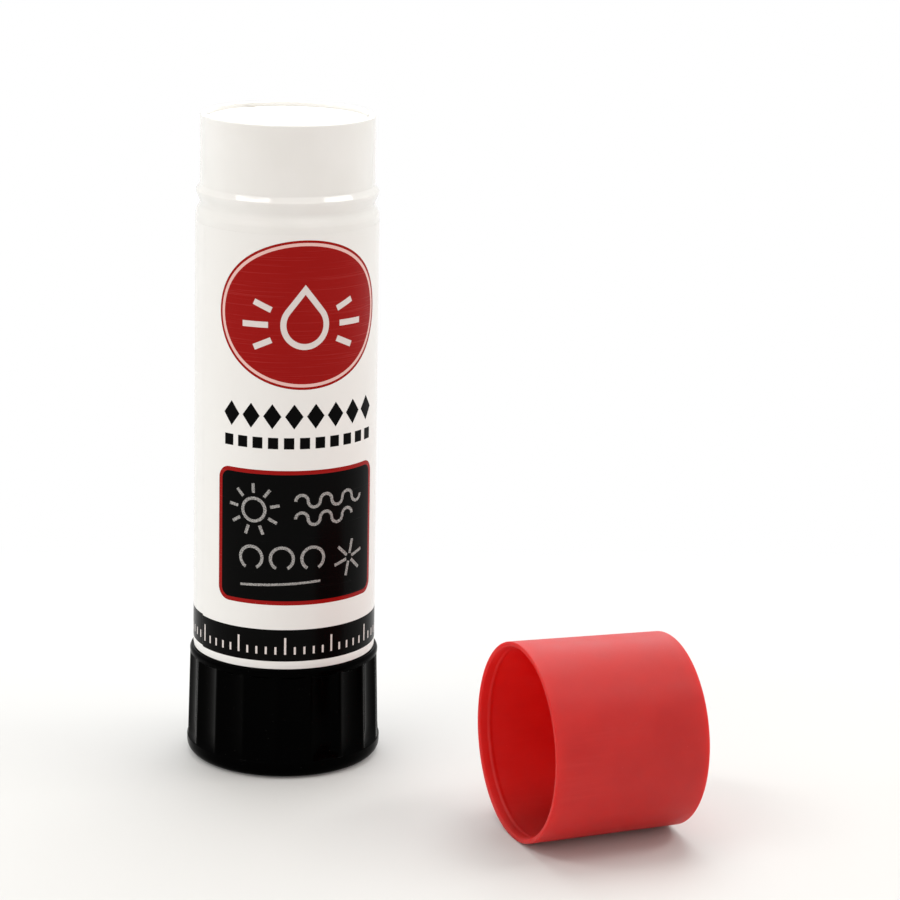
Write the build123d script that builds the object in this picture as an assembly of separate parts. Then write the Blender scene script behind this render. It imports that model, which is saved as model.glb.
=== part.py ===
from build123d import *
import math
import os

# A twist-up glue stick, standing, with its cap off and lying on its side beside it.
# Millimetres, +Z up. The stick's axis is the Z axis and its foot is on z = 0.

# Knob: the fluted cup at the foot that is turned by hand
knob_foot_radius = 16.52
knob_foot_rounding = 1.8
knob_ring_height = 2.9
knob_ridge_radius_low = 16.42
knob_ridge_radius_high = 16.02
knob_lip_height = 18.4
knob_height = 18.9
knob_top_radius = 15.72
knob_floor = 1.8
knob_skirt_bore = 14.5
knob_recess_inner_radius = 8.0
knob_recess_outer_radius = 13.6
knob_recess_depth = 0.5
hub_radius = 5.6
hub_height = 8.0
flute_count = 18
flute_depth = 0.65
flute_foot = 2.9
flute_top = 17.8
flute_end_rounding = 2.4
ridge_width = 0.55
flute_phase = -3.84

# Snap between the knob and the barrel's tail
snap_groove_low = 5.6
snap_groove_height = 2.4
snap_groove_depth = 0.45
snap_clearance = 0.3

# Barrel: the white tube, with its tail in the knob and its neck for the cap
turning_gap = 0.15
barrel_foot_radius = 15.4
barrel_top_radius = 15.2
bore_radius = 13.25
tail_drop = 15.9
shoulder_height = 93.95
shoulder_rounding = 0.8
groove_radius = 14.5
groove_height = 95.05
groove_length = 0.5
bead_radius = 15.12
bead_foot_height = 97.05
bead_top_height = 97.45
bead_rounding = 0.35
neck_radius = 14.46
neck_foot_height = 98.35
rim_height = 109.95
rim_rounding = 0.3
rib_count = 3
rib_height = 0.5
rib_width = 1.2
rib_root = 0.4
rib_foot_height = 20.0
rib_top_height = 105.5

# Label: a film wrapped once round the barrel
film = 0.08
adhesive = 0.02
label_foot_height = 19.7
label_top_height = 92.4
label_butt_gap = 0.25
label_seam_angle = -152.2

# Spindle: the screw that stands in the knob's hub
key_flats = 5.6
key_clearance = 0.1
flange_radius = 7.4
flange_thickness = 1.2
thread_lead = 4.0
thread_mean_radius = 2.65
thread_throw = 0.45
thread_top_height = 101.0
tip_chamfer = 0.6

# Carrier: the piston that runs up the spindle and holds the glue
running_clearance = 0.3
thread_clearance = 0.2
nut_foot_height = 22.0
nut_radius = 5.0
carrier_floor_height = 32.0
carrier_floor = 1.5
carrier_skirt_drop = 5.0
carrier_wall = 0.9
cup_wall_height = 4.5
web_count = 3
web_thickness = 1.0
web_height = 4.0

# Glue: the cast stick of adhesive
glue_fit = 0.05
glue_below_rim = 0.65
glue_edge_rounding = 0.5
glue_well_clearance = 0.4
glue_well_headroom = 3.0

# Cap: a thin cup, lying on its side
cap_length = 26.65
cap_mouth_radius = 16.09
cap_closed_radius = 15.67
cap_wall = 0.85
cap_end = 1.1
cap_edge_rounding = 0.45
cap_rim_rounding = 0.2
cap_ring_depth = 2.4
cap_ring_radius = 0.5
cap_ring_proud = 0.25
cap_rest_x = 36.70
cap_rest_y = -42.63
cap_heading = 19.0

overrun = 1.0

knob_groove_radius = knob_skirt_bore + snap_groove_depth
tail_radius = knob_skirt_bore - snap_clearance
tail_bead_radius = knob_groove_radius - snap_clearance
tail_bead_low = snap_groove_low + snap_clearance
tail_bead_high = snap_groove_low + snap_groove_height - snap_clearance
barrel_step_height = knob_height + turning_gap
tail_foot_height = barrel_step_height - tail_drop
thread_foot_height = hub_height + flange_thickness
carrier_radius = bore_radius - running_clearance
carrier_floor_top = carrier_floor_height + carrier_floor
cup_rim_height = carrier_floor_top + cup_wall_height
glue_top_height = rim_height - glue_below_rim
groove_top_height = groove_height + groove_length


def turned(points, roundings=()):
    """A solid of revolution about Z from (radius, height) points, some corners rounded."""
    face = make_face(Polyline(*points, close=True))
    for corner, radius in roundings:
        spot = Vector(*corner, 0)
        vertex = min(face.vertices(), key=lambda v: (Vector(*v) - spot).length)
        face = fillet(vertex, radius)
    return revolve(Plane.XZ * face, Axis.Z)


def standing_ring(outer, inner, low, high):
    """A plain ring between two heights."""
    return turned([(inner, low), (outer, low), (outer, high), (inner, high)])


def around(shape, count, phase=0):
    """Copies of a shape, evenly spaced round the Z axis."""
    return [Rot(0, 0, phase + 360 * i / count) * shape for i in range(count)]


def screw(radius, top_height):
    """A round-form, left-hand, single-start screw: a circle off the axis, twisted along it."""
    length = top_height - thread_foot_height
    section = Face(Wire.make_circle(radius, Plane((thread_throw, 0, 0))))
    turns = 360 * length / thread_lead
    rod = Solid.extrude_linear_with_rotation(section, (0, 0, 0), (0, 0, length), turns)
    return Pos(0, 0, thread_foot_height) * mirror(rod, Plane.XZ)


def flute_tool():
    """One scooped flute: an upright bar with rounded ends, leaning with the knob's draft."""
    mid_height = (flute_foot + flute_top) / 2
    ridge_radius = (knob_ridge_radius_low + knob_ridge_radius_high) / 2
    half_angle = math.pi / flute_count - ridge_width / ridge_radius / 2
    half_chord = ridge_radius * math.sin(half_angle)
    sagitta = flute_depth - ridge_radius * (1 - math.cos(half_angle))
    bar_radius = (half_chord**2 + sagitta**2) / (2 * sagitta)
    length = flute_top - flute_foot
    bar = Cylinder(bar_radius, length)
    bar = fillet(bar.edges().filter_by(GeomType.CIRCLE), flute_end_rounding)
    run = knob_lip_height - knob_ring_height
    lean = math.degrees(math.atan2(knob_ridge_radius_low - knob_ridge_radius_high, run))
    centre = ridge_radius - flute_depth + bar_radius
    return Pos(centre, 0, mid_height) * Rot(0, -lean, 0) * bar


def make_knob():
    foot_corner = (knob_foot_radius, 0)
    body = turned(
        [
            (0, 0),
            foot_corner,
            (knob_foot_radius, knob_ring_height),
            (knob_ridge_radius_low, knob_ring_height),
            (knob_ridge_radius_high, knob_lip_height),
            (knob_top_radius, knob_height),
            (knob_skirt_bore, knob_height),
            (knob_skirt_bore, snap_groove_low + snap_groove_height),
            (knob_groove_radius, snap_groove_low + snap_groove_height),
            (knob_groove_radius, snap_groove_low),
            (knob_skirt_bore, snap_groove_low),
            (knob_skirt_bore, knob_floor),
            (hub_radius, knob_floor),
            (hub_radius, hub_height),
            (0, hub_height),
        ],
        [(foot_corner, knob_foot_rounding)],
    )
    socket_height = hub_height - knob_floor + overrun
    socket = extrude(RegularPolygon(key_flats / 2 + key_clearance, 6, major_radius=False), socket_height)
    recess = standing_ring(
        knob_recess_outer_radius, knob_recess_inner_radius, -overrun, knob_recess_depth
    )
    return body - Pos(0, 0, knob_floor) * socket - recess - around(flute_tool(), flute_count, flute_phase)


def make_spindle():
    key = extrude(RegularPolygon(key_flats / 2, 6, major_radius=False), hub_height - knob_floor)
    flange = standing_ring(flange_radius, 0, hub_height, thread_foot_height)
    thread = screw(thread_mean_radius, thread_top_height)
    crest_radius = thread_mean_radius + thread_throw
    tip_low = thread_top_height - tip_chamfer
    tip = turned(
        [
            (crest_radius, tip_low),
            (crest_radius + overrun, tip_low),
            (crest_radius + overrun, thread_top_height),
            (crest_radius - tip_chamfer, thread_top_height),
        ]
    )
    return Pos(0, 0, knob_floor) * key + flange + (thread - tip)


def make_barrel():
    shoulder = (barrel_top_radius, shoulder_height)
    groove_low = (groove_radius, groove_height)
    bead_low = (bead_radius, bead_foot_height)
    bead_high = (bead_radius, bead_top_height)
    rim = (neck_radius, rim_height)
    tube = turned(
        [
            (bore_radius, tail_foot_height),
            (tail_radius, tail_foot_height),
            (tail_radius, tail_bead_low),
            (tail_bead_radius, tail_bead_low),
            (tail_bead_radius, tail_bead_high),
            (tail_radius, tail_bead_high),
            (tail_radius, barrel_step_height),
            (barrel_foot_radius, barrel_step_height),
            shoulder,
            groove_low,
            (groove_radius, groove_top_height),
            bead_low,
            bead_high,
            (neck_radius, neck_foot_height),
            rim,
            (bore_radius, rim_height),
        ],
        [
            (shoulder, shoulder_rounding),
            (bead_high, bead_rounding),
            (rim, rim_rounding),
        ],
    )
    rib = Pos(bore_radius - rib_height, 0, rib_foot_height) * Box(
        rib_height + rib_root,
        rib_width,
        rib_top_height - rib_foot_height,
        align=(Align.MIN, Align.CENTER, Align.MIN),
    )
    return tube + around(rib, rib_count)


def barrel_radius_at(height):
    """The barrel's outer radius at a height on its slightly tapered wall."""
    share = (height - barrel_step_height) / (shoulder_height - barrel_step_height)
    return barrel_foot_radius + (barrel_top_radius - barrel_foot_radius) * share


def make_label():
    low_radius = barrel_radius_at(label_foot_height) + adhesive
    high_radius = barrel_radius_at(label_top_height) + adhesive
    strip = make_face(
        Polyline(
            (low_radius, label_foot_height),
            (low_radius + film, label_foot_height),
            (high_radius + film, label_top_height),
            (high_radius, label_top_height),
            close=True,
        )
    )
    gap_angle = math.degrees(label_butt_gap / barrel_foot_radius)
    wrap = revolve(Plane.XZ * strip, Axis.Z, revolution_arc=360 - gap_angle)
    return Rot(0, 0, label_seam_angle + gap_angle / 2) * wrap


def rib_slots(low, high):
    """What the barrel's ribs sweep, with clearance, to cut from what slides past them."""
    width = rib_width + 2 * running_clearance
    slot = Pos(bore_radius - rib_height - running_clearance, 0, low) * Box(
        rib_height + running_clearance + overrun,
        width,
        high - low,
        align=(Align.MIN, Align.CENTER, Align.MIN),
    )
    return around(slot, rib_count)


def make_carrier():
    skirt_foot = carrier_floor_height - carrier_skirt_drop
    inner = carrier_radius - carrier_wall
    piston = turned(
        [
            (0, nut_foot_height),
            (nut_radius, nut_foot_height),
            (nut_radius, carrier_floor_height),
            (inner, carrier_floor_height),
            (inner, skirt_foot),
            (carrier_radius, skirt_foot),
            (carrier_radius, cup_rim_height),
            (inner, cup_rim_height),
            (inner, carrier_floor_top),
            (0, carrier_floor_top),
        ]
    )
    web = Pos(nut_radius - web_thickness, 0, carrier_floor_height - web_height) * Box(
        inner - nut_radius + web_thickness + carrier_wall / 2,
        web_thickness,
        web_height + carrier_floor / 2,
        align=(Align.MIN, Align.CENTER, Align.MIN),
    )
    thread = screw(thread_mean_radius + thread_clearance, carrier_floor_top + overrun)
    slots = rib_slots(skirt_foot - overrun, cup_rim_height + overrun)
    return piston + around(web, web_count, 180 / rib_count) - thread - slots


def make_glue():
    plug_radius = carrier_radius - carrier_wall - glue_fit
    well_radius = thread_mean_radius + thread_throw + glue_well_clearance
    well_top = thread_top_height + glue_well_headroom
    edge = (carrier_radius, glue_top_height)
    stick = turned(
        [
            (well_radius, carrier_floor_top),
            (plug_radius, carrier_floor_top),
            (plug_radius, cup_rim_height),
            (carrier_radius, cup_rim_height),
            edge,
            (0, glue_top_height),
            (0, well_top),
            (well_radius, well_top),
        ],
        [(edge, glue_edge_rounding)],
    )
    return stick - rib_slots(carrier_floor_top - overrun, glue_top_height + overrun)


def make_cap():
    outer_edge = (cap_closed_radius, cap_length)
    mouth_edge = (cap_mouth_radius, 0)
    cup = turned(
        [
            mouth_edge,
            outer_edge,
            (0, cap_length),
            (0, cap_length - cap_end),
            (cap_closed_radius - cap_wall, cap_length - cap_end),
            (cap_mouth_radius - cap_wall, 0),
        ],
        [(outer_edge, cap_edge_rounding), (mouth_edge, cap_rim_rounding)],
    )
    taper = (cap_mouth_radius - cap_closed_radius) / cap_length
    wall_radius = cap_mouth_radius - cap_wall - taper * cap_ring_depth
    ring = Torus(wall_radius + cap_ring_radius - cap_ring_proud, cap_ring_radius)
    cap = cup + Pos(0, 0, cap_ring_depth) * ring

    dip = math.atan(taper)
    heading = math.radians(cap_heading)
    level = Vector(math.cos(heading), math.sin(heading), 0)
    along = level * math.cos(dip) - Vector(0, 0, 1) * math.sin(dip)
    upward = level * math.sin(dip) + Vector(0, 0, 1) * math.cos(dip)
    mouth = Vector(cap_rest_x, cap_rest_y, 0) + upward * cap_mouth_radius
    return Plane(origin=mouth, x_dir=upward, z_dir=along) * cap


os.makedirs("parts", exist_ok=True)
nodes = {
    "winder_knob": make_knob(),
    "spindle": make_spindle(),
    "barrel": make_barrel(),
    "barrel_label": make_label(),
    "glue_carrier": make_carrier(),
    "glue_stick": make_glue(),
    "cap": make_cap(),
}
for name, shape in nodes.items():
    export_step(shape, f"parts/{name}.step")
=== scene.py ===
import math

import bmesh
import bpy
from mathutils import Matrix, Vector, noise


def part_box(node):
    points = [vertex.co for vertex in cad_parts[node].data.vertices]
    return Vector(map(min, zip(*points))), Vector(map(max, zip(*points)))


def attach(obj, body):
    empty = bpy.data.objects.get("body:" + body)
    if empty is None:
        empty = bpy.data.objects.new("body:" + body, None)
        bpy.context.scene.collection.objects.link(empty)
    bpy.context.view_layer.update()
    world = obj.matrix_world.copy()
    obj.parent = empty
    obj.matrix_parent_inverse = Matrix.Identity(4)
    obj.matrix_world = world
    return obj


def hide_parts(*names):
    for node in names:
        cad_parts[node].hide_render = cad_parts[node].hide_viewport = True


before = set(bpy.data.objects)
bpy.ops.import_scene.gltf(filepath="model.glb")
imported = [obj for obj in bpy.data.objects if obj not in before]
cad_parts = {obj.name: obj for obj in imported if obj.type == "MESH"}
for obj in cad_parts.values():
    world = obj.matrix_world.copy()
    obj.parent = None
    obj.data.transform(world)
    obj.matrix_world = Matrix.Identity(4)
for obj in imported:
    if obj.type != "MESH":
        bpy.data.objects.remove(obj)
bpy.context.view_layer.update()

scene = bpy.context.scene
scene.view_settings.view_transform = "Standard"

# Camera. It stands half a metre in front of the stick, a little above it, and looks
# down and slightly to the right, so that the cap lies low in the picture.
camera_distance = 0.500
camera_height = 0.181
camera_yaw = math.radians(3.18)
camera_pitch = math.radians(14.33)
camera_roll = math.radians(1.27)
camera_lens = 122.25

look = Vector((
    math.sin(camera_yaw) * math.cos(camera_pitch),
    math.cos(camera_yaw) * math.cos(camera_pitch),
    -math.sin(camera_pitch),
))
level = Vector((math.cos(camera_yaw), -math.sin(camera_yaw), 0))
upright = level.cross(look)
camera_right = level * math.cos(camera_roll) + upright * math.sin(camera_roll)
camera_up = upright * math.cos(camera_roll) - level * math.sin(camera_roll)

camera_data = bpy.data.cameras.new("camera")
camera_data.sensor_width = 36
camera_data.lens = camera_lens
camera_data.clip_start = 0.01
camera = bpy.data.objects.new("camera", camera_data)
camera_turn = Matrix((camera_right, camera_up, -look)).transposed().to_4x4()
camera.matrix_world = Matrix.Translation((0, -camera_distance, camera_height)) @ camera_turn
scene.collection.objects.link(camera)
scene.camera = camera


# Winder knob. A black polypropylene cup, moulded with eighteen scooped flutes for the
# fingers. It snaps round the barrel's tail and is turned to wind the glue up.
knob_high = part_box("winder_knob")[1]
knob_foot_radius = knob_high.x
knob_height = knob_high.z
knob_ring_height = 0.0029
knob_ring_step = 0.0001
knob_ridge_low = 0.01642
knob_ridge_high = 0.01602
knob_lip_height = 0.0184
knob_top_radius = 0.01572
knob_floor = 0.0018
knob_bore = 0.0145
knob_groove_radius = 0.01495
knob_groove_low = 0.0056
knob_groove_high = 0.0080
hub_radius = 0.0056
hub_height = 0.0080
socket_flats = 0.0029
socket_sides = 6
knob_recess_inner = 0.0080
knob_recess_outer = 0.0136
knob_recess_depth = 0.0005
flute_count = 18
flute_depth = 0.00065
flute_foot = 0.0029
flute_top = 0.0178
flute_foot_rise = 0.0012
flute_top_rise = 0.0005
flute_softness = 0.00004
flute_soft_reach = 8
flute_margin = 0.0001
flute_phase = math.radians(-3.84)
flute_half_angle = math.radians(9.4)
flute_foot_mesh = 0.00008
flute_top_mesh = 0.00007
flute_side_mesh = 0.0020
knob_steps = 432
knob_foot_rounding = 0.0018
knob_lip_rounding = 0.00018
crisp_edge = 0.00008
fine_edge = 0.0001
soft_edge = 0.0003
fine_rounding = 0.0004
few_segments = 3
more_segments = 6
same_place = 1e-7
slack = 1e-6


def round_off(bm, geom, offset, segments, affect):
    """Rounds edges or corners off by an even distance."""
    bmesh.ops.bevel(
        bm,
        geom=geom,
        offset=offset,
        offset_type="OFFSET",
        segments=segments,
        profile=0.5,
        affect=affect,
        material=-1,
    )


def outline(corners):
    """A closed outline in the XZ plane from (radius, height, rounding) corners."""
    bm = bmesh.new()
    verts = [bm.verts.new((radius, 0, height)) for radius, height, rounding in corners]
    for start, end in zip(verts, verts[1:] + verts[:1]):
        bm.edges.new((start, end))
    for vert, (radius, height, rounding) in zip(verts, corners):
        if rounding:
            segments = few_segments if rounding < fine_rounding else more_segments
            round_off(bm, [vert], rounding, segments, "VERTICES")
    return bm


def cut_edges(bm, longest, low, high, inside=0.0):
    """Divides an outline's edges between two heights, outside a radius, to a length."""
    for edge in list(bm.edges):
        cuts = int(edge.calc_length() / longest)
        if cuts and all(low <= vert.co.z <= high and vert.co.x >= inside for vert in edge.verts):
            bmesh.ops.subdivide_edges(bm, edges=[edge], cuts=cuts)


def turn(bm, steps):
    """Spins an outline once round the Z axis and closes its seam and its poles."""
    bmesh.ops.spin(
        bm,
        geom=bm.verts[:] + bm.edges[:],
        cent=(0, 0, 0),
        axis=(0, 0, 1),
        angle=2 * math.pi,
        steps=steps,
        use_merge=True,
    )
    bmesh.ops.remove_doubles(bm, verts=bm.verts[:], dist=same_place)
    bmesh.ops.recalc_face_normals(bm, faces=bm.faces[:])


def finish_piece(bm, name, material, body, replaced=(), crease=35):
    """Makes the object of a mesh, smooth but for its sharp edges, and puts it on its body."""
    mesh = bpy.data.meshes.new(name)
    bm.to_mesh(mesh)
    bm.free()
    mesh.shade_smooth()
    mesh.set_sharp_from_angle(angle=math.radians(crease))
    mesh.materials.append(material)
    piece = bpy.data.objects.new(name, mesh)
    scene.collection.objects.link(piece)
    weighted = piece.modifiers.new("even_shading", "WEIGHTED_NORMAL")
    weighted.keep_sharp = True
    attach(piece, body)
    if replaced:
        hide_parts(*replaced)
    return piece


def start_material(name):
    """A node material with its shader and output joined, and its Object coordinates."""
    material = bpy.data.materials.new(name)
    material.use_nodes = True
    nodes = material.node_tree.nodes
    shader = nodes["Principled BSDF"]
    place = nodes.new("ShaderNodeTexCoord")
    return material, shader, place.outputs["Object"]


def add_effect(material, group, **values):
    """Places a shared effect in a material and sets its inputs."""
    node = material.node_tree.nodes.new("ShaderNodeGroup")
    node.node_tree = group
    for name, value in values.items():
        socket = node.inputs[name.replace("_", " ")]
        if isinstance(value, bpy.types.NodeSocket):
            material.node_tree.links.new(value, socket)
        else:
            socket.default_value = value
    return node


def blend_colours(material, mask, first, second):
    """Mixes two colours by a mask and returns the mixed colour."""
    mix = material.node_tree.nodes.new("ShaderNodeMix")
    mix.data_type = "RGBA"
    colours = [socket for socket in mix.inputs if socket.type == "RGBA"]
    for socket, colour in zip(colours, (first, second)):
        if isinstance(colour, bpy.types.NodeSocket):
            material.node_tree.links.new(colour, socket)
        else:
            socket.default_value = (*colour, 1)
    material.node_tree.links.new(mask, mix.inputs["Factor"])
    return next(socket for socket in mix.outputs if socket.type == "RGBA")


def spread(material, value, low, high, to_low=0.0, to_high=1.0):
    """Maps a value from one range to another, held at its ends."""
    node = material.node_tree.nodes.new("ShaderNodeMapRange")
    material.node_tree.links.new(value, node.inputs["Value"])
    node.inputs["From Min"].default_value = low
    node.inputs["From Max"].default_value = high
    node.inputs["To Min"].default_value = to_low
    node.inputs["To Max"].default_value = to_high
    return node.outputs["Result"]


cloud_low = 0.3
cloud_high = 0.7


def cloudy(material, skin, to_low=0.0, to_high=1.0):
    """Maps the cloud of a moulded skin to a range."""
    return spread(material, skin.outputs["Cloud"], cloud_low, cloud_high, to_low, to_high)


def feed(material, shader, name, value):
    """Links a value that changes over the surface to a shader's socket."""
    material.node_tree.links.new(value, shader.inputs[name])


def raise_surface(material, shader, height, depth, strength=1.0):
    """Bumps a shader's surface by a height value."""
    bump = material.node_tree.nodes.new("ShaderNodeBump")
    bump.inputs["Distance"].default_value = depth
    bump.inputs["Strength"].default_value = strength
    material.node_tree.links.new(height, bump.inputs["Height"])
    material.node_tree.links.new(bump.outputs["Normal"], shader.inputs["Normal"])


def start_group(name, inputs, outputs):
    """A shared effect with a place and named numbers in, and named values out."""
    group = bpy.data.node_groups.new(name, "ShaderNodeTree")
    group.interface.new_socket("Place", in_out="INPUT", socket_type="NodeSocketVector")
    for title, value in inputs.items():
        socket = group.interface.new_socket(title, in_out="INPUT", socket_type="NodeSocketFloat")
        socket.default_value = value
    for title in outputs:
        group.interface.new_socket(title, in_out="OUTPUT", socket_type="NodeSocketFloat")
    entry = group.nodes.new("NodeGroupInput")
    leave = group.nodes.new("NodeGroupOutput")
    return group, entry, leave


def add_noise(tree, place, detail, roughness=0.5):
    """A noise texture at a place."""
    texture = tree.nodes.new("ShaderNodeTexNoise")
    texture.inputs["Detail"].default_value = detail
    texture.inputs["Roughness"].default_value = roughness
    tree.links.new(place, texture.inputs["Vector"])
    return texture


def moulded_skin():
    """The faint ripple and grain that a polished mould leaves on plastic."""
    grain_share = 0.12
    group, entry, leave = start_group(
        "moulded_skin", {"Ripple scale": 120, "Grain scale": 2500}, ["Height", "Cloud"]
    )
    nodes, links = group.nodes, group.links
    ripple = add_noise(group, entry.outputs["Place"], detail=2)
    grain = add_noise(group, entry.outputs["Place"], detail=3)
    links.new(entry.outputs["Ripple scale"], ripple.inputs["Scale"])
    links.new(entry.outputs["Grain scale"], grain.inputs["Scale"])
    faint = nodes.new("ShaderNodeMath")
    faint.operation = "MULTIPLY_ADD"
    faint.inputs[1].default_value = grain_share
    links.new(grain.outputs[0], faint.inputs[0])
    links.new(ripple.outputs[0], faint.inputs[2])
    links.new(faint.outputs[0], leave.inputs["Height"])
    links.new(ripple.outputs[0], leave.inputs["Cloud"])
    return group


def squeeze(group, entry, scale):
    """The place of an effect, drawn together along its axes."""
    drawn = group.nodes.new("ShaderNodeMapping")
    drawn.inputs["Scale"].default_value = scale
    group.links.new(entry.outputs["Place"], drawn.inputs["Vector"])
    return drawn.outputs["Vector"]


def above(group, value, start, full):
    """How far a value lies on the way from a start to full."""
    node = group.nodes.new("ShaderNodeMapRange")
    group.links.new(value, node.inputs["Value"])
    group.links.new(start, node.inputs["From Min"])
    node.inputs["From Max"].default_value = full
    return node.outputs["Result"]


def rub_marks():
    """Fine scratches and rubbed patches from handling, running one way along the place."""
    line_squeeze = (1, 1, 14)
    group, entry, leave = start_group(
        "rub_marks", {"Scale": 60, "Fine": 0.62, "Patch": 0.5}, ["Marks"]
    )
    nodes, links = group.nodes, group.links
    lines = add_noise(group, squeeze(group, entry, line_squeeze), detail=4, roughness=0.7)
    links.new(entry.outputs["Scale"], lines.inputs["Scale"])
    patches = add_noise(group, entry.outputs["Place"], detail=2)
    links.new(entry.outputs["Scale"], patches.inputs["Scale"])
    both = nodes.new("ShaderNodeMath")
    both.operation = "MULTIPLY"
    links.new(above(group, lines.outputs[0], entry.outputs["Fine"], 0.85), both.inputs[0])
    links.new(above(group, patches.outputs[0], entry.outputs["Patch"], 0.75), both.inputs[1])
    links.new(both.outputs[0], leave.inputs["Marks"])
    return group


def dust_specks():
    """Sparse pale specks of lint and paper dust."""
    group, entry, leave = start_group("dust_specks", {"Scale": 900, "Size": 0.12}, ["Specks"])
    nodes, links = group.nodes, group.links
    cells = nodes.new("ShaderNodeTexVoronoi")
    links.new(entry.outputs["Place"], cells.inputs["Vector"])
    links.new(entry.outputs["Scale"], cells.inputs["Scale"])
    near = nodes.new("ShaderNodeMath")
    near.operation = "LESS_THAN"
    links.new(cells.outputs["Distance"], near.inputs[0])
    links.new(entry.outputs["Size"], near.inputs[1])
    links.new(near.outputs[0], leave.inputs["Specks"])
    return group


skin_effect = moulded_skin()
rub_effect = rub_marks()
dust_effect = dust_specks()


def flute_inset(angle, height):
    """How far a flute is scooped in, at an angle round the knob and a height."""
    pitch = 2 * math.pi / flute_count
    offset = (angle - flute_phase + pitch / 2) % pitch - pitch / 2
    across = flute_depth * (1 - (offset / flute_half_angle) ** 2)
    foot_slope = flute_depth * (height - flute_foot) / flute_foot_rise
    top_slope = flute_depth * (flute_top - height) / flute_top_rise
    depth = min(across, foot_slope, top_slope)
    if depth > flute_soft_reach * flute_softness:
        return depth
    return flute_softness * math.log1p(math.exp(depth / flute_softness))


def black_plastic():
    """Glossy black polypropylene, rubbed a little paler in places."""
    material, shader, place = start_material("black_plastic")
    skin = add_effect(material, skin_effect, Place=place, Ripple_scale=160, Grain_scale=3000)
    rubs = add_effect(material, rub_effect, Place=place, Scale=90, Fine=0.58, Patch=0.48)
    dust = add_effect(material, dust_effect, Place=place, Scale=700, Size=0.05)
    clean_black = (0.0002, 0.0002, 0.0002)
    rubbed_black = (0.002, 0.002, 0.002)
    dust_grey = (0.012, 0.012, 0.011)
    worn = blend_colours(material, rubs.outputs["Marks"], clean_black, rubbed_black)
    dusty = blend_colours(material, dust.outputs["Specks"], worn, dust_grey)
    feed(material, shader, "Base Color", dusty)
    feed(material, shader, "Roughness", cloudy(material, skin, to_low=0.12, to_high=0.18))
    shader.inputs["Specular IOR Level"].default_value = 0.013
    raise_surface(material, shader, skin.outputs["Height"], depth=0.00002, strength=0.35)
    return material


def ridge_radius(height):
    """The radius of the ridges between the flutes at a height."""
    share = (height - knob_ring_height) / (knob_lip_height - knob_ring_height)
    return knob_ridge_low + (knob_ridge_high - knob_ridge_low) * share


flute_foot_end = flute_foot + flute_foot_rise + flute_margin
flute_top_end = flute_top - flute_top_rise - flute_margin
knob = outline([
    (0, 0, 0),
    (knob_recess_inner, 0, fine_edge),
    (knob_recess_inner, knob_recess_depth, fine_edge),
    (knob_recess_outer, knob_recess_depth, fine_edge),
    (knob_recess_outer, 0, fine_edge),
    (knob_foot_radius, 0, knob_foot_rounding),
    (knob_foot_radius, knob_ring_height - knob_ring_step, crisp_edge),
    (ridge_radius(knob_ring_height), knob_ring_height, 0),
    (ridge_radius(flute_foot_end), flute_foot_end, 0),
    (ridge_radius(flute_top_end), flute_top_end, 0),
    (ridge_radius(flute_top), flute_top, 0),
    (knob_ridge_high, knob_lip_height, knob_lip_rounding),
    (knob_top_radius, knob_height, crisp_edge),
    (knob_bore, knob_height, crisp_edge),
    (knob_bore, knob_groove_high, 0),
    (knob_groove_radius, knob_groove_high, 0),
    (knob_groove_radius, knob_groove_low, 0),
    (knob_bore, knob_groove_low, 0),
    (knob_bore, knob_floor, soft_edge),
    (hub_radius, knob_floor, soft_edge),
    (hub_radius, hub_height, fine_edge),
    (socket_flats, hub_height, 0),
    (socket_flats, knob_floor, 0),
    (0, knob_floor, 0),
])
cut_edges(knob, flute_foot_mesh, knob_ring_height, flute_foot_end + slack, knob_ridge_high)
cut_edges(knob, flute_top_mesh, flute_top_end - slack, flute_top + slack, knob_ridge_high)
cut_edges(
    knob, flute_side_mesh, flute_foot_end - slack, flute_top_end + slack, knob_ridge_high
)
bmesh.ops.rotate(
    knob, verts=knob.verts[:], cent=(0, 0, 0), matrix=Matrix.Rotation(flute_phase, 3, "Z")
)
turn(knob, knob_steps)
for vert in knob.verts:
    radius = math.hypot(vert.co.x, vert.co.y)
    angle = math.atan2(vert.co.y, vert.co.x)
    if radius > knob_top_radius and vert.co.z > knob_ring_height + slack:
        vert.co.xy *= (radius - flute_inset(angle, vert.co.z)) / radius
    if abs(radius - socket_flats) < slack:
        side = 2 * math.pi / socket_sides
        vert.co.xy /= math.cos(angle % side - side / 2)
black = black_plastic()
finish_piece(knob, "knob_cup", black, "winder", ["winder_knob"])


# Spindle and carrier. Undyed polyethylene mouldings inside the barrel: a screw keyed
# into the knob's hub, and the threaded piston that climbs it with the glue.
def let_light_in(shader, weight, radius, scale):
    """Lets light a little way into a plastic or a wax."""
    shader.inputs["Subsurface Weight"].default_value = weight
    shader.inputs["Subsurface Radius"].default_value = radius
    shader.inputs["Subsurface Scale"].default_value = scale


def natural_plastic():
    """Undyed polyethylene: milky, waxy and a little see-through."""
    material, shader, place = start_material("natural_plastic")
    skin = add_effect(material, skin_effect, Place=place, Ripple_scale=200, Grain_scale=1800)
    thin_milk = (0.76, 0.76, 0.71)
    thick_milk = (0.82, 0.82, 0.78)
    colour = blend_colours(material, cloudy(material, skin), thin_milk, thick_milk)
    feed(material, shader, "Base Color", colour)
    shader.inputs["Roughness"].default_value = 0.42
    let_light_in(shader, weight=0.25, radius=(1.0, 0.9, 0.8), scale=0.0012)
    raise_surface(material, shader, skin.outputs["Height"], depth=0.00003, strength=0.4)
    return material


natural = natural_plastic()
for node in ("spindle", "glue_carrier"):
    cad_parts[node].data.materials.clear()
    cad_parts[node].data.materials.append(natural)


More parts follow.
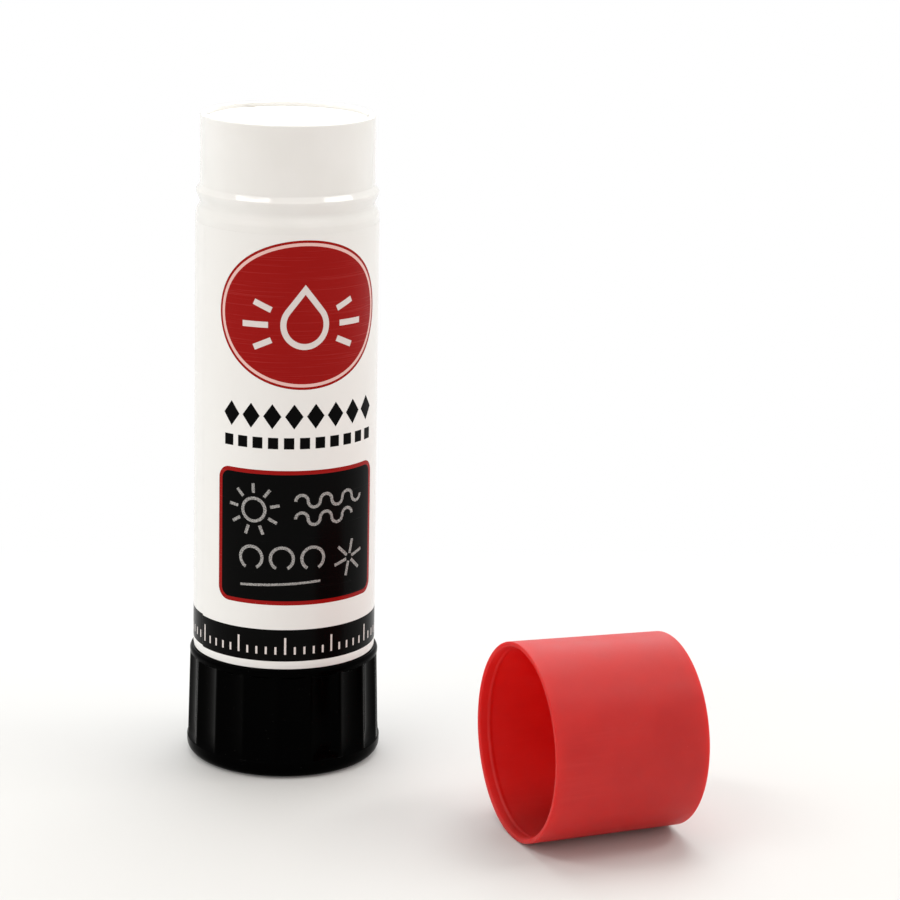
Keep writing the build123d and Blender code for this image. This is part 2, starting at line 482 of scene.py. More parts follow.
# Barrel. One white polypropylene moulding: a slightly tapered tube, a rounded shoulder,
# the bead that the cap snaps over, and a neck that shows the mould's parting line.
barrel_low, barrel_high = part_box("barrel")
tail_foot = barrel_low.z
rim_height = barrel_high.z
bore_radius = 0.01325
tail_radius = 0.0142
tail_bead_radius = 0.01465
tail_bead_low = 0.0059
tail_bead_high = 0.0077
step_height = 0.01905
barrel_foot_radius = barrel_high.x
barrel_top_radius = 0.0152
shoulder_height = 0.09395
groove_radius = 0.0145
groove_low = 0.09505
groove_high = 0.09555
bead_radius = 0.01512
bead_low = 0.09705
bead_high = 0.09745
neck_radius = 0.01446
neck_foot = 0.09835
rib_height = 0.0005
rib_width = 0.0012
rib_foot = 0.0200
rib_top = 0.1055
rib_count = 3
rib_rounding_steps = 2
shoulder_rounding = 0.0006
bead_top_rounding = 0.00012
eased_edge = 0.0002
barrel_mesh = 0.0060
barrel_steps = 240
parting_angle = math.radians(66.9 - 90)
parting_width = 0.00012
parting_proud = 0.00003
parting_reach = 0.0002


def white_plastic():
    """White polypropylene with a soft gloss, faintly cloudy, a little light going in."""
    material, shader, place = start_material("white_plastic")
    skin = add_effect(material, skin_effect, Place=place, Ripple_scale=110, Grain_scale=2600)
    rubs = add_effect(material, rub_effect, Place=place, Scale=70, Fine=0.6, Patch=0.5)
    grey_white = (0.83, 0.825, 0.805)
    bright_white = (0.86, 0.855, 0.84)
    rubbed_white = (0.76, 0.75, 0.73)
    clean = blend_colours(material, cloudy(material, skin), grey_white, bright_white)
    colour = blend_colours(material, rubs.outputs["Marks"], clean, rubbed_white)
    feed(material, shader, "Base Color", colour)
    rough = spread(material, rubs.outputs["Marks"], 0, 1, to_low=0.12, to_high=0.35)
    feed(material, shader, "Roughness", rough)
    let_light_in(shader, weight=0.12, radius=(1.0, 0.95, 0.9), scale=0.0010)
    raise_surface(material, shader, skin.outputs["Height"], depth=0.00002, strength=0.25)
    return material


barrel = outline([
    (bore_radius, tail_foot, fine_edge),
    (tail_radius, tail_foot, eased_edge),
    (tail_radius, tail_bead_low, 0),
    (tail_bead_radius, tail_bead_low, eased_edge),
    (tail_bead_radius, tail_bead_high, eased_edge),
    (tail_radius, tail_bead_high, 0),
    (tail_radius, step_height, 0),
    (barrel_foot_radius, step_height, crisp_edge),
    (barrel_top_radius, shoulder_height, shoulder_rounding),
    (groove_radius, groove_low, soft_edge),
    (groove_radius, groove_high, soft_edge),
    (bead_radius, bead_low, soft_edge),
    (bead_radius, bead_high, bead_top_rounding),
    (neck_radius, neck_foot, bead_top_rounding),
    (neck_radius, rim_height, soft_edge),
    (bore_radius, rim_height, eased_edge),
])
cut_edges(barrel, barrel_mesh, tail_foot, rim_height)
turn(barrel, barrel_steps)
for vert in barrel.verts:
    radius = math.hypot(vert.co.x, vert.co.y)
    angle = math.atan2(vert.co.y, vert.co.x)
    if radius > neck_radius - parting_reach and vert.co.z > step_height:
        off_line = abs((angle - parting_angle + math.pi / 2) % math.pi - math.pi / 2) * radius
        if off_line < parting_width:
            vert.co.xy *= (radius + parting_proud) / radius
white = white_plastic()
finish_piece(barrel, "barrel_tube", white, "barrel", ["barrel"])

for index in range(rib_count):
    rib = bmesh.new()
    rib_place = Matrix.Rotation(2 * math.pi * index / rib_count, 4, "Z")
    rib_place @= Matrix.Translation((bore_radius, 0, (rib_foot + rib_top) / 2))
    rib_place @= Matrix.Diagonal((2 * rib_height, rib_width, rib_top - rib_foot, 1))
    bmesh.ops.create_cube(rib, size=1, matrix=rib_place)
    round_off(rib, rib.edges[:], fine_edge, rib_rounding_steps, "EDGES")
    finish_piece(rib, f"barrel_guide_rib_{index + 1}", white, "barrel")


# Label. A white film with a gloss varnish, wrapped once round the barrel; its ends
# butt together at a seam on the stick's left side.
label_low, label_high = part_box("barrel_label")
label_foot = label_low.z
label_top = label_high.z
film_proud = 0.00004
film_thickness = 0.00003
label_foot_radius = barrel_foot_radius + film_proud
label_top_radius = barrel_top_radius + film_proud
seam_angle = math.radians(-62.2)
seam_gap = 0.00003
wrap_strips = 240
map_scale = 100


def label_radius(height):
    """The outer radius of the tapered label at a height."""
    share = (height - label_foot) / (label_top - label_foot)
    return label_foot_radius + (label_top_radius - label_foot_radius) * share


print_radius = label_radius((label_foot + label_top) / 2)


def wrap(bm):
    """Slices a flat print into narrow strips and bends it round the barrel.

    In the flat, x runs round from the middle of the front, y is the height, and z is
    how far the print stands off the label."""
    width = 2 * math.pi * print_radius / wrap_strips
    low = min(vert.co.x for vert in bm.verts)
    high = max(vert.co.x for vert in bm.verts)
    for line in range(math.ceil(low / width), math.floor(high / width) + 1):
        bmesh.ops.bisect_plane(
            bm,
            geom=bm.verts[:] + bm.edges[:] + bm.faces[:],
            dist=slack,
            plane_co=(line * width, 0, 0),
            plane_no=(1, 0, 0),
        )
    sheet = bm.loops.layers.uv.new("flat")
    for face in bm.faces:
        for loop in face.loops:
            loop[sheet].uv = (loop.vert.co.x * map_scale, loop.vert.co.y * map_scale)
    for vert in bm.verts:
        angle = vert.co.x / print_radius
        radius = label_radius(vert.co.y) + vert.co.z
        vert.co = (radius * math.sin(angle), -radius * math.cos(angle), vert.co.y)
    bmesh.ops.recalc_face_normals(bm, faces=bm.faces[:])


def thicken(bm, low, high):
    """Gives a flat sheet a thickness between two distances off the label."""
    bmesh.ops.remove_doubles(bm, verts=bm.verts[:], dist=slack)
    bmesh.ops.recalc_face_normals(bm, faces=bm.faces[:])
    bmesh.ops.translate(bm, verts=bm.verts[:], vec=(0, 0, low))
    grown = bmesh.ops.extrude_face_region(bm, geom=bm.faces[:], use_keep_orig=True)
    upper = [item for item in grown["geom"] if isinstance(item, bmesh.types.BMVert)]
    bmesh.ops.translate(bm, verts=upper, vec=(0, 0, high - low))


def flat_box(bm, left, right, low, high):
    """A flat upright rectangle between its sides."""
    place = Matrix.Translation(((left + right) / 2, (low + high) / 2, 0))
    place @= Matrix.Diagonal((right - left, high - low, 1, 1))
    return bmesh.ops.create_grid(bm, x_segments=1, y_segments=1, size=0.5, matrix=place)["verts"]


def hairlines():
    """Fine level scratches that the label picks up as it is wound on and handled."""
    line_squeeze = (0.5, 42, 1)
    group, entry, leave = start_group("hairlines", {"Fine": 0.6}, ["Lines"])
    lines = add_noise(group, squeeze(group, entry, line_squeeze), detail=3, roughness=0.65)
    lines.inputs["Scale"].default_value = 1.0
    thin = above(group, lines.outputs[0], entry.outputs["Fine"], 0.8)
    group.links.new(thin, leave.inputs["Lines"])
    return group


hairline_effect = hairlines()
scratch_dulling = 0.2


def printed_film(name, clean, scratched, fine, gloss, specular=0.5):
    """Varnished print on film, with level hairline scratches."""
    material, shader, place = start_material(name)
    flat = material.node_tree.nodes.new("ShaderNodeUVMap")
    flat.uv_map = "flat"
    lines = add_effect(material, hairline_effect, Place=flat.outputs["UV"], Fine=fine)
    skin = add_effect(material, skin_effect, Place=place, Ripple_scale=140, Grain_scale=2200)
    colour = blend_colours(material, lines.outputs["Lines"], clean, scratched)
    feed(material, shader, "Base Color", colour)
    rough = spread(material, lines.outputs["Lines"], 0, 1, gloss, gloss + scratch_dulling)
    feed(material, shader, "Roughness", rough)
    shader.inputs["Specular IOR Level"].default_value = specular
    raise_surface(material, shader, skin.outputs["Height"], depth=0.00002, strength=0.2)
    return material


half_wrap = math.pi * print_radius
seam_place = seam_angle * print_radius
wrap_start = seam_place + seam_gap / 2
wrap_end = seam_place + 2 * half_wrap - seam_gap / 2
label = bmesh.new()
flat_box(label, wrap_start, wrap_end, label_foot, label_top)
thicken(label, -film_thickness, 0)
wrap(label)
film = printed_film(
    "label_film",
    clean=(0.845, 0.84, 0.825),
    scratched=(0.79, 0.78, 0.76),
    fine=0.64,
    gloss=0.22,
    specular=0.35,
)
finish_piece(label, "label_wrap", film, "barrel", ["barrel_label"])


# Print on the label: a red oval badge with a pale keyline, rows of plain black shapes,
# a black board with chalk marks, and a black ruled band. Each ink is a thin layer.
ink_low = 0.000004
ink_high = 0.000012
over_low = 0.000014
over_high = 0.000022
badge_angle = math.radians(11.5)
badge_height = 0.07915
badge_half_width = 0.0150
badge_half_height = 0.01235
badge_line = 0.00042
badge_gap = 0.00052

red_ink = printed_film(
    "red_ink",
    clean=(0.31, 0.006, 0.005),
    scratched=(0.40, 0.030, 0.027),
    fine=0.56,
    gloss=0.25,
    specular=0.08,
)
black_ink = printed_film(
    "black_ink",
    clean=(0.0018, 0.0018, 0.0018),
    scratched=(0.012, 0.012, 0.012),
    fine=0.66,
    gloss=0.22,
    specular=0.035,
)
pale_ink = printed_film(
    "pale_ink", clean=(0.80, 0.50, 0.46), scratched=(0.74, 0.42, 0.38), fine=0.6, gloss=0.25
)
white_ink = printed_film(
    "white_ink", clean=(0.72, 0.66, 0.64), scratched=(0.62, 0.55, 0.53), fine=0.6, gloss=0.3
)


def flat_ellipse(bm, x, y, half_width, half_height, steps=96):
    """A filled flat ellipse."""
    place = Matrix.Translation((x, y, 0)) @ Matrix.Diagonal((half_width, half_height, 1, 1))
    bmesh.ops.create_circle(bm, cap_ends=True, segments=steps, radius=1, matrix=place)


def flat_loop(bm, x, y, half_width, half_height, line, steps=96):
    """A flat elliptical line, its outer edge at the given size."""
    edges = []
    for inset in (0, line):
        place = Matrix.Translation((x, y, 0))
        place @= Matrix.Diagonal((half_width - inset, half_height - inset, 1, 1))
        made = bmesh.ops.create_circle(bm, segments=steps, radius=1, matrix=place)
        edges += {edge for vert in made["verts"] for edge in vert.link_edges}
    bmesh.ops.bridge_loops(bm, edges=edges)


def sweep_round(bm, geom, x, y, angle, steps):
    """Sweeps points or lines round a centre in the flat."""
    return bmesh.ops.spin(
        bm,
        geom=geom,
        cent=(x, y, 0),
        axis=(0, 0, 1),
        angle=angle,
        steps=steps,
        use_merge=False,
    )


def flat_arc(bm, x, y, radius, line, start, sweep, steps=12):
    """A flat arc stroke of even width about a centre, its angles from +x."""
    half = line / 2
    turn_start = Matrix.Rotation(start, 3, "Z")
    ends = [
        bm.verts.new(Vector((x, y, 0)) + turn_start @ Vector((radius + side, 0, 0)))
        for side in (-half, half)
    ]
    edge = bm.edges.new(ends)
    sweep_round(bm, [*ends, edge], x, y, sweep, steps)


stroke_overrun = 0.6


def flat_stroke(bm, start, end, line):
    """A flat straight stroke of even width between two points."""
    run = Vector((*end, 0)) - Vector((*start, 0))
    middle = (Vector((*end, 0)) + Vector((*start, 0))) / 2
    place = Matrix.Translation(middle)
    place @= Matrix.Rotation(math.atan2(run.y, run.x), 4, "Z")
    place @= Matrix.Diagonal((run.length + line * stroke_overrun, line, 1, 1))
    bmesh.ops.create_grid(bm, x_segments=3, y_segments=1, size=0.5, matrix=place)


def print_piece(bm, name, ink, low=ink_low, high=ink_high):
    """Lays a flat print on the label as one thin layer of ink."""
    thicken(bm, low, high)
    wrap(bm)
    return finish_piece(bm, name, ink, "barrel")


badge_x = badge_angle * print_radius
badge = bmesh.new()
flat_ellipse(
    badge,
    badge_x,
    badge_height,
    badge_half_width - badge_line - badge_gap,
    badge_half_height - badge_line - badge_gap,
)
print_piece(badge, "badge_field", red_ink)

keyline = bmesh.new()
flat_loop(
    keyline,
    badge_x,
    badge_height,
    badge_half_width - badge_line,
    badge_half_height - badge_line,
    badge_gap,
)
print_piece(keyline, "badge_keyline", pale_ink)

edge_line = bmesh.new()
flat_loop(edge_line, badge_x, badge_height, badge_half_width, badge_half_height, badge_line)
print_piece(edge_line, "badge_edge", red_ink)

# The badge's motif is a plain drop in outline between two fans of three short rays.
drop_radius = 0.0036
drop_line = 0.0010
drop_height = badge_height - 0.0016
drop_open = math.radians(38)
ray_tilt = math.radians(24)
ray_near = 0.0064
ray_far = 0.0090
level_ray_far = 0.0102


def drop_outline(bm, x, y, radius, steps=40):
    """A flat drop's outline: an arc, and two tangents that meet at its tip."""
    rise = radius * math.sin(drop_open)
    first = bm.verts.new((x - radius * math.cos(drop_open), y + rise, 0))
    arc = sweep_round(bm, [first], x, y, math.pi + 2 * drop_open, steps)
    last = next(item for item in arc["geom_last"] if isinstance(item, bmesh.types.BMVert))
    tip = bm.verts.new((x, y + radius / math.sin(drop_open), 0))
    bm.edges.new((last, tip))
    bm.edges.new((tip, first))


motif = bmesh.new()
for side in (-1, 1):
    drop_outline(motif, badge_x, drop_height, drop_radius + side * drop_line / 2)
bmesh.ops.bridge_loops(motif, edges=motif.edges[:])
for side in (-1, 1):
    for rise in (-1, 0, 1):
        tilt = rise * ray_tilt
        far = level_ray_far if rise == 0 else ray_far
        start, end = (
            (badge_x + side * reach * math.cos(tilt), drop_height + reach * math.sin(tilt))
            for reach in (ray_near, far)
        )
        flat_stroke(motif, start, end, drop_line)
print_piece(motif, "badge_motif", white_ink, over_low, over_high)

# Two rows of plain black shapes stand under the badge: lozenges above, dashes below.
row_left = math.radians(-42) * print_radius
row_right = math.radians(66) * print_radius
lozenge_height = 0.0623
lozenge_half_height = 0.0021
lozenge_narrowing = 0.72
lozenge_count = 8
dash_height = 0.0578
dash_half_width = 0.00085
dash_half_height = 0.00095
dash_count = 11
row = bmesh.new()
for index in range(lozenge_count):
    x = row_left + (row_right - row_left) * (index + 0.5) / lozenge_count
    half_width = lozenge_half_height * lozenge_narrowing
    flat_ellipse(row, x, lozenge_height, half_width, lozenge_half_height, steps=4)
print_piece(row, "lozenge_row", black_ink)
row = bmesh.new()
for index in range(dash_count):
    x = row_left + (row_right - row_left) * (index + 0.5) / dash_count
    low, high = dash_height - dash_half_height, dash_height + dash_half_height
    flat_box(row, x - dash_half_width, x + dash_half_width, low, high)
print_piece(row, "dash_row", black_ink)

# The board is an upright black panel with rounded corners and a red frame.
board_left = math.radians(-45) * print_radius
board_right = math.radians(67) * print_radius
board_low = 0.0302
board_high = 0.0532
board_rounding = 0.0022
board_rounding_steps = 8
board_frame = 0.0007


def board_panel(bm, inset):
    """A filled flat panel with rounded corners, inside the board's edge by an inset."""
    corners = flat_box(
        bm, board_left + inset, board_right - inset, board_low + inset, board_high - inset
    )
    round_off(bm, corners, board_rounding - inset, board_rounding_steps, "VERTICES")


board_edge = bmesh.new()
board_panel(board_edge, 0)
board_panel(board_edge, board_frame)
bmesh.ops.delete(board_edge, geom=board_edge.faces[:], context="FACES_ONLY")
bmesh.ops.bridge_loops(board_edge, edges=board_edge.edges[:])
print_piece(board_edge, "board_frame", red_ink)

board = bmesh.new()
board_panel(board, board_frame)
print_piece(board, "board_field", black_ink)

# Chalk marks on the board: a ring with rays, waves, open rings, a star and an underline.
chalk_line = 0.00052
board_x = (board_left + board_right) / 2
sun_x = board_left + 0.0068
sun_y = board_high - 0.0068
sun_radius = 0.0022
sun_ray_near = 0.0030
sun_ray_far = 0.0043
sun_ray_count = 9
sun_turn = 0.2
wave_left = board_x - 0.0012
wave_top = board_high - 0.0052
wave_spacing = 0.0030
wave_radius = 0.00105
wave_humps = (6, 5)
star_x = board_right - 0.0062
star_y = board_low + 0.0072
star_near = 0.0008
star_far = 0.0030
star_ray_count = 6
star_turn = 0.3
open_ring_left = board_x - 0.0086
open_ring_height = board_low + 0.0080
open_ring_spacing = 0.0052
open_ring_radius = 0.0019
open_ring_count = 3
open_ring_start = math.radians(-60)
open_ring_sweep = math.radians(300)
underline_start = (board_left + 0.0046, board_low + 0.0032)
underline_end = (board_x + 0.0030, board_low + 0.0040)
underline_line = chalk_line * 0.8


def chalk():
    """Chalk dragged over a board: pale, broken by the board's grain."""
    chalk_squeeze = (18, 30, 1)
    chalk_slant = math.radians(35)
    bare_board = (0.012, 0.012, 0.012)
    chalk_grey = (0.46, 0.45, 0.44)
    material, shader, place = start_material("chalk")
    flat = material.node_tree.nodes.new("ShaderNodeUVMap")
    flat.uv_map = "flat"
    drag = material.node_tree.nodes.new("ShaderNodeMapping")
    drag.inputs["Scale"].default_value = chalk_squeeze
    drag.inputs["Rotation"].default_value = (0, 0, chalk_slant)
    material.node_tree.links.new(flat.outputs["UV"], drag.inputs["Vector"])
    grain = add_noise(material.node_tree, drag.outputs["Vector"], detail=5, roughness=0.75)
    grain.inputs["Scale"].default_value = 2.2
    cover = spread(material, grain.outputs[0], low=0.40, high=0.56)
    colour = blend_colours(material, cover, bare_board, chalk_grey)
    feed(material, shader, "Base Color", colour)
    shader.inputs["Roughness"].default_value = 0.35
    return material


def chalk_wave(bm, left, height, humps, radius, line):
    """A wavy line made of half rings, turned up and down by turns."""
    for hump in range(humps):
        x = left + (2 * hump + 1) * radius
        up = hump % 2 == 0
        flat_arc(bm, x, height, radius, line, 0 if up else math.pi, math.pi)


def chalk_rays(bm, x, y, near, far, count, line, phase=0.0):
    """Short strokes that point away from a centre."""
    for index in range(count):
        angle = phase + 2 * math.pi * index / count
        start = (x + near * math.cos(angle), y + near * math.sin(angle))
        end = (x + far * math.cos(angle), y + far * math.sin(angle))
        flat_stroke(bm, start, end, line)


marks = bmesh.new()
flat_loop(marks, sun_x, sun_y, sun_radius, sun_radius, chalk_line, steps=40)
chalk_rays(
    marks, sun_x, sun_y, sun_ray_near, sun_ray_far, sun_ray_count, chalk_line, sun_turn
)
for index, humps in enumerate(wave_humps):
    wave_height = wave_top - wave_spacing * index
    chalk_wave(marks, wave_left, wave_height, humps, wave_radius, chalk_line)
chalk_rays(marks, star_x, star_y, star_near, star_far, star_ray_count, chalk_line, star_turn)
for index in range(open_ring_count):
    flat_arc(
        marks,
        open_ring_left + open_ring_spacing * index,
        open_ring_height,
        open_ring_radius,
        chalk_line,
        open_ring_start,
        open_ring_sweep,
        steps=24,
    )
flat_stroke(marks, underline_start, underline_end, underline_line)
chalk_ink = chalk()
print_piece(marks, "chalk_marks", chalk_ink, over_low, over_high)

# The band runs right round the foot of the label with evenly spaced pale ruled ticks.
# The film is a touch askew, so that the band's ends miss each other at the seam.
band_low = 0.02040
band_high = 0.02589
band_askew = 0.00022
tick_count = 60
tick_line = 0.00034
long_tick_every = 5
tick_foot = band_low + 0.0012
short_tick = 0.0013
long_tick = 0.0029


def askew(bm):
    """Climbs a flat print slightly along its length, as the film does."""
    for vert in bm.verts:
        vert.co.y += band_askew * (vert.co.x - seam_place) / (2 * half_wrap)


band = bmesh.new()
flat_box(band, wrap_start, wrap_end, band_low, band_high)
askew(band)
print_piece(band, "ruled_band", black_ink)
ticks = bmesh.new()
for index in range(tick_count):
    x = seam_place + 2 * half_wrap * (index + 0.5) / tick_count
    rise = short_tick if index % long_tick_every else long_tick
    flat_box(ticks, x - tick_line / 2, x + tick_line / 2, tick_foot, tick_foot + rise)
askew(ticks)
print_piece(ticks, "band_ticks", white_ink, over_low, over_high)


# Glue. A cast stick of white adhesive with three grooves from the barrel's ribs. Its
# fresh face lies just under the rim, a little uneven where the cast skinned over.
glue_low, glue_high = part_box("glue_stick")
glue_top = glue_high.z
glue_foot = glue_low.z
glue_radius = 0.01295
glue_lip_radius = 0.01320
glue_lip_height = 0.1085
glue_plug_radius = 0.0120
glue_plug_top = 0.0380
glue_well_radius = 0.0035
glue_well_top = 0.1040
glue_well_rounding = 0.0004
glue_lip_slope = 0.0003
glue_face_mesh = 0.0010
glue_steps = 144
glue_skin_depth = 0.0007
glue_skin_sunk = 0.00010
glue_skin_uneven = 0.00004
glue_waves = 300
glue_ripples = 900
glue_ripple_share = 0.5
groove_half_width = 0.0009
groove_depth = 0.0005
groove_reach = 0.0003


def glue_wax():
    """White glue: waxy and soft, with light going in, dry at its skin."""
    material, shader, place = start_material("glue_wax")
    skin = add_effect(material, skin_effect, Place=place, Ripple_scale=260, Grain_scale=1500)
    warm_white = (0.875, 0.875, 0.845)
    clear_white = (0.90, 0.90, 0.875)
    colour = blend_colours(material, cloudy(material, skin), warm_white, clear_white)
    feed(material, shader, "Base Color", colour)
    shader.inputs["Roughness"].default_value = 0.48
    let_light_in(shader, weight=0.35, radius=(1.0, 0.95, 0.85), scale=0.0015)
    raise_surface(material, shader, skin.outputs["Height"], depth=0.00005, strength=0.5)
    return material


glue = outline([
    (glue_well_radius, glue_foot, 0),
    (glue_plug_radius, glue_foot, 0),
    (glue_plug_radius, glue_plug_top, 0),
    (glue_radius, glue_plug_top, eased_edge),
    (glue_radius, glue_lip_height, eased_edge),
    (glue_lip_radius, glue_lip_height + glue_lip_slope, fine_edge),
    (glue_lip_radius, glue_top, eased_edge),
    (0, glue_top, 0),
    (0, glue_well_top, 0),
    (glue_well_radius, glue_well_top, glue_well_rounding),
])
cut_edges(glue, glue_face_mesh, glue_top - slack, glue_top + slack)
turn(glue, glue_steps)
for vert in glue.verts:
    radius = math.hypot(vert.co.x, vert.co.y)
    if vert.co.z > glue_top - glue_skin_depth and radius < glue_lip_radius:
        ripples = glue_ripple_share * noise.noise(vert.co * glue_ripples)
        uneven = noise.noise(vert.co * glue_waves) + ripples
        sunk = glue_skin_sunk * (1 - (radius / glue_lip_radius) ** 2)
        vert.co.z -= sunk + glue_skin_uneven * (1 + uneven)
    if radius > glue_plug_radius + groove_reach:
        angle = math.atan2(vert.co.y, vert.co.x)
        pitch = 2 * math.pi / rib_count
        off_rib = abs((angle + pitch / 2) % pitch - pitch / 2) * radius
        if off_rib < groove_half_width:
            vert.co.xy *= (radius - groove_depth) / radius
finish_piece(glue, "glue_charge", glue_wax(), "carriage", ["glue_stick"])


# Cap. A thin satin red polypropylene cup with a snap ring just inside its mouth. It
# has been pulled off and lies on its side, so that its taper tips it slightly.
cap_length = 0.02665
cap_mouth_radius = 0.01609
cap_closed_radius = 0.01567
cap_wall = 0.00085
cap_end = 0.0011
cap_ring_depth = 0.0018
cap_ring_back = cap_ring_depth + 0.0005
cap_ring_front = cap_ring_depth - 0.0004
cap_ring_half_flat = 0.0001
cap_ring_proud = 0.00015
cap_ring_rounding = 0.00012
cap_lead_depth = 0.0003
cap_lead_width = 0.0002
cap_mouth_rounding = 0.00022
cap_closed_rounding = 0.00045
cap_corner_rounding = 0.0006
cap_mesh = 0.0040
cap_rest = (0.03670, -0.04263)
cap_heading = math.radians(19.0)
cap_steps = 192


def red_plastic():
    """Satin red polypropylene: light goes a little way in, and handling rubs it pale."""
    material, shader, place = start_material("red_plastic")
    turned = material.node_tree.nodes.new("ShaderNodeMapping")
    turned.vector_type = "TEXTURE"
    turned.inputs["Rotation"].default_value = (0, 0, cap_heading)
    material.node_tree.links.new(place, turned.inputs["Vector"])
    skin = add_effect(material, skin_effect, Place=place, Ripple_scale=170, Grain_scale=2600)
    rubs = add_effect(
        material, rub_effect, Place=turned.outputs["Vector"], Scale=55, Fine=0.5, Patch=0.46
    )
    dust = add_effect(material, dust_effect, Place=place, Scale=520, Size=0.035)
    deep_red = (0.45, 0.013, 0.012)
    clear_red = (0.495, 0.018, 0.016)
    rubbed_red = (0.56, 0.032, 0.029)
    dusty_red = (0.56, 0.05, 0.045)
    clean = blend_colours(material, cloudy(material, skin), deep_red, clear_red)
    rubbed = blend_colours(material, rubs.outputs["Marks"], clean, rubbed_red)
    dusty = blend_colours(material, dust.outputs["Specks"], rubbed, dusty_red)
    feed(material, shader, "Base Color", dusty)
    feed(material, shader, "Roughness", cloudy(material, skin, to_low=0.45, to_high=0.54))
    shader.inputs["Specular IOR Level"].default_value = 0.29
    let_light_in(shader, weight=0.85, radius=(1.0, 0.06, 0.04), scale=0.0056)
    raise_surface(material, shader, skin.outputs["Height"], depth=0.00003, strength=0.35)
    return material


def inner_radius(depth):
    """The cap's inner radius at a depth from its mouth."""
    taper = (cap_mouth_radius - cap_closed_radius) / cap_length
    return cap_mouth_radius - cap_wall - taper * depth


cap_ring_crest = inner_radius(cap_ring_depth) - cap_ring_proud
cap = outline([
    (cap_mouth_radius, 0, cap_mouth_rounding),
    (cap_closed_radius, cap_length, cap_closed_rounding),
    (0, cap_length, 0),
    (0, cap_length - cap_end, 0),
    (inner_radius(cap_length - cap_end), cap_length - cap_end, cap_corner_rounding),
    (inner_radius(cap_ring_back), cap_ring_back, cap_ring_rounding),
    (cap_ring_crest, cap_ring_depth + cap_ring_half_flat, fine_edge),
    (cap_ring_crest, cap_ring_depth - cap_ring_half_flat, fine_edge),
    (inner_radius(cap_ring_front), cap_ring_front, cap_ring_rounding),
    (inner_radius(cap_lead_depth), cap_lead_depth, 0),
    (inner_radius(0) + cap_lead_width, 0, fine_edge),
])
cut_edges(cap, cap_mesh, 0, cap_length)
turn(cap, cap_steps)
dip = math.atan2(cap_mouth_radius - cap_closed_radius, cap_length)
cap_along = Vector((
    math.cos(cap_heading) * math.cos(dip),
    math.sin(cap_heading) * math.cos(dip),
    -math.sin(dip),
))
cap_upward = Vector((
    math.cos(cap_heading) * math.sin(dip),
    math.sin(cap_heading) * math.sin(dip),
    math.cos(dip),
))
cap_turn = Matrix((cap_upward, cap_along.cross(cap_upward), cap_along)).transposed()
cap_mouth = Vector((*cap_rest, 0)) + cap_upward * cap_mouth_radius
bmesh.ops.transform(
    cap, matrix=Matrix.Translation(cap_mouth) @ cap_turn.to_4x4(), verts=cap.verts[:]
)
finish_piece(cap, "cap_shell", red_plastic(), "cap", ["cap"])


# Table and light. A pale table top that fades into a white backdrop, in a room that is
# bright to both sides. A soft light hangs behind, a stronger one overhead, and a strip
# light to each side in front.
floor_reach = 1.6
floor_fade_start = -0.02
floor_fade_end = 0.12
floor_colour = (0.70, 0.70, 0.695, 1)

top = bmesh.new()
bmesh.ops.create_grid(top, x_segments=1, y_segments=1, size=floor_reach)
top_mesh = bpy.data.meshes.new("table_top")
top.to_mesh(top_mesh)
top.free()
table = bpy.data.objects.new("table_top", top_mesh)
scene.collection.objects.link(table)

table_material = bpy.data.materials.new("table_white")
table_material.use_nodes = True
table_nodes = table_material.node_tree.nodes
table_links = table_material.node_tree.links
table_shader = table_nodes["Principled BSDF"]
table_shader.inputs["Base Color"].default_value = floor_colour
table_shader.inputs["Roughness"].default_value = 0.6
table_shader.inputs["Specular IOR Level"].default_value = 0.1
white_out = table_nodes.new("ShaderNodeEmission")
white_out.inputs["Strength"].default_value = 1.0


def seen_or_shone(nodes, links):
    """One for light that the eye sees straight, in a gloss or through glass, else nought."""
    path = nodes.new("ShaderNodeLightPath")
    rays = path.outputs["Is Camera Ray"]
    for kind in ("Is Glossy Ray", "Is Transmission Ray"):
        either = nodes.new("ShaderNodeMath")
        either.operation = "MAXIMUM"
        links.new(rays, either.inputs[0])
        links.new(path.outputs[kind], either.inputs[1])
        rays = either.outputs[0]
    return rays


def mix_surface(nodes, links, share, first, second, output):
    """Mixes two shaders by a share and leads the mix to the output."""
    mix = nodes.new("ShaderNodeMixShader")
    links.new(share, mix.inputs["Fac"])
    links.new(first, mix.inputs[1])
    links.new(second, mix.inputs[2])
    links.new(mix.outputs["Shader"], nodes[output].inputs["Surface"])


table_place = table_nodes.new("ShaderNodeTexCoord")
split = table_nodes.new("ShaderNodeSeparateXYZ")
table_links.new(table_place.outputs["Object"], split.inputs["Vector"])
behind = table_nodes.new("ShaderNodeMapRange")
behind.inputs["From Min"].default_value = floor_fade_start
behind.inputs["From Max"].default_value = floor_fade_end
table_links.new(split.outputs["Y"], behind.inputs["Value"])
to_eye = table_nodes.new("ShaderNodeMath")
to_eye.operation = "MULTIPLY"
table_links.new(behind.outputs["Result"], to_eye.inputs[0])
table_links.new(seen_or_shone(table_nodes, table_links), to_eye.inputs[1])
mix_surface(
    table_nodes,
    table_links,
    to_eye.outputs[0],
    table_shader.outputs["BSDF"],
    white_out.outputs["Emission"],
    "Material Output",
)
table.data.materials.append(table_material)

world = bpy.data.worlds.new("studio")
world.use_nodes = True
world_nodes = world.node_tree.nodes
world_links = world.node_tree.links
world_nodes.remove(world_nodes["Background"])
heading = world_nodes.new("ShaderNodeTexCoord")
heading_parts = world_nodes.new("ShaderNodeSeparateXYZ")
world_links.new(heading.outputs["Generated"], heading_parts.inputs["Vector"])


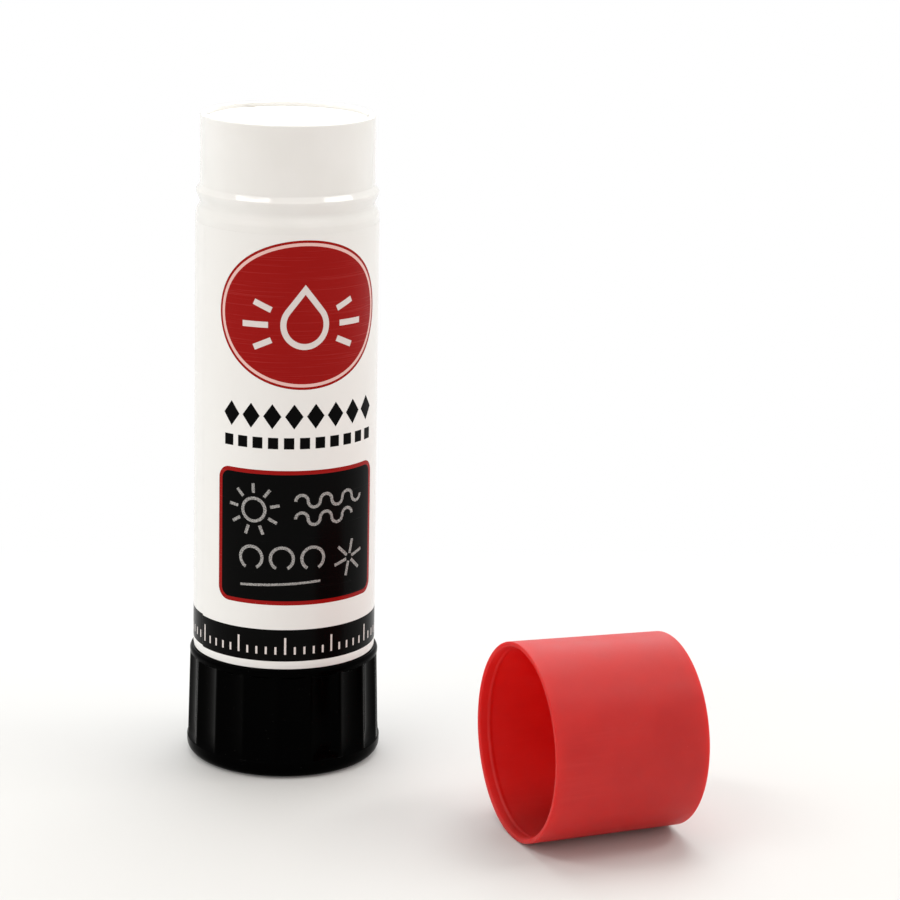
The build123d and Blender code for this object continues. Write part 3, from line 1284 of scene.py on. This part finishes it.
def room_side(axis, way, strength, colour):
    """Light from one side of the room, strongest straight that way."""
    towards = world_nodes.new("ShaderNodeMapRange")
    towards.inputs["From Max"].default_value = way
    towards.inputs["To Max"].default_value = strength
    world_links.new(heading_parts.outputs[axis], towards.inputs["Value"])
    side = world_nodes.new("ShaderNodeBackground")
    side.inputs["Color"].default_value = colour
    world_links.new(towards.outputs["Result"], side.inputs["Strength"])
    return side.outputs["Background"]


room = room_side("Y", way=-1, strength=0.565, colour=(1, 0.85, 0.79, 1))
for side in (
    room_side("X", way=-1, strength=1.31, colour=(0.99, 1, 0.97, 1)),
    room_side("X", way=1, strength=0.99, colour=(0.99, 1, 0.96, 1)),
):
    both = world_nodes.new("ShaderNodeAddShader")
    world_links.new(room, both.inputs[0])
    world_links.new(side, both.inputs[1])
    room = both.outputs["Shader"]
backdrop = world_nodes.new("ShaderNodeBackground")
backdrop.inputs["Strength"].default_value = 1.0
mix_surface(
    world_nodes,
    world_links,
    seen_or_shone(world_nodes, world_links),
    room,
    backdrop.outputs["Background"],
    "World Output",
)
scene.world = world


def strip_light(name, start, end, height, aim, power, colour=(1, 0.98, 0.95)):
    """A long soft light between two ends that faces a point."""
    lamp = bpy.data.lights.new(name, "AREA")
    lamp.shape = "RECTANGLE"
    lamp.color = colour
    lamp.size = (Vector(end) - Vector(start)).length
    lamp.size_y = height
    lamp.energy = power
    middle = (Vector(start) + Vector(end)) / 2
    away = (middle - Vector(aim)).normalized()
    along = (Vector(end) - Vector(start)).normalized()
    across = away.cross(along).normalized()
    strip = bpy.data.objects.new(name, lamp)
    facing = Matrix((along, across, along.cross(across))).transposed().to_4x4()
    strip.matrix_world = Matrix.Translation(middle) @ facing
    scene.collection.objects.link(strip)


bead_spot = (0, 0, bead_high)
floor_spot = (0.02, -0.02, 0.02)
front_strip = {"height": 0.10, "aim": bead_spot, "power": 1.2}
strip_light(
    "light_back",
    start=(-0.3, 0.65, 0.4),
    end=(0.4, 0.65, 0.4),
    height=0.3,
    aim=floor_spot,
    power=1.7,
    colour=(0.92, 0.97, 1),
)
strip_light(
    "light_above",
    start=(-0.25, 0.22, 0.76),
    end=(0.35, 0.22, 0.76),
    height=0.5,
    aim=floor_spot,
    power=3.7,
)
strip_light(
    "light_left", start=(-0.581, -0.071, 0.644), end=(-0.230, -0.383, 0.761), **front_strip
)
strip_light(
    "light_right", start=(0.453, -0.243, 0.711), end=(0.641, 0.136, 0.557), **front_strip
)
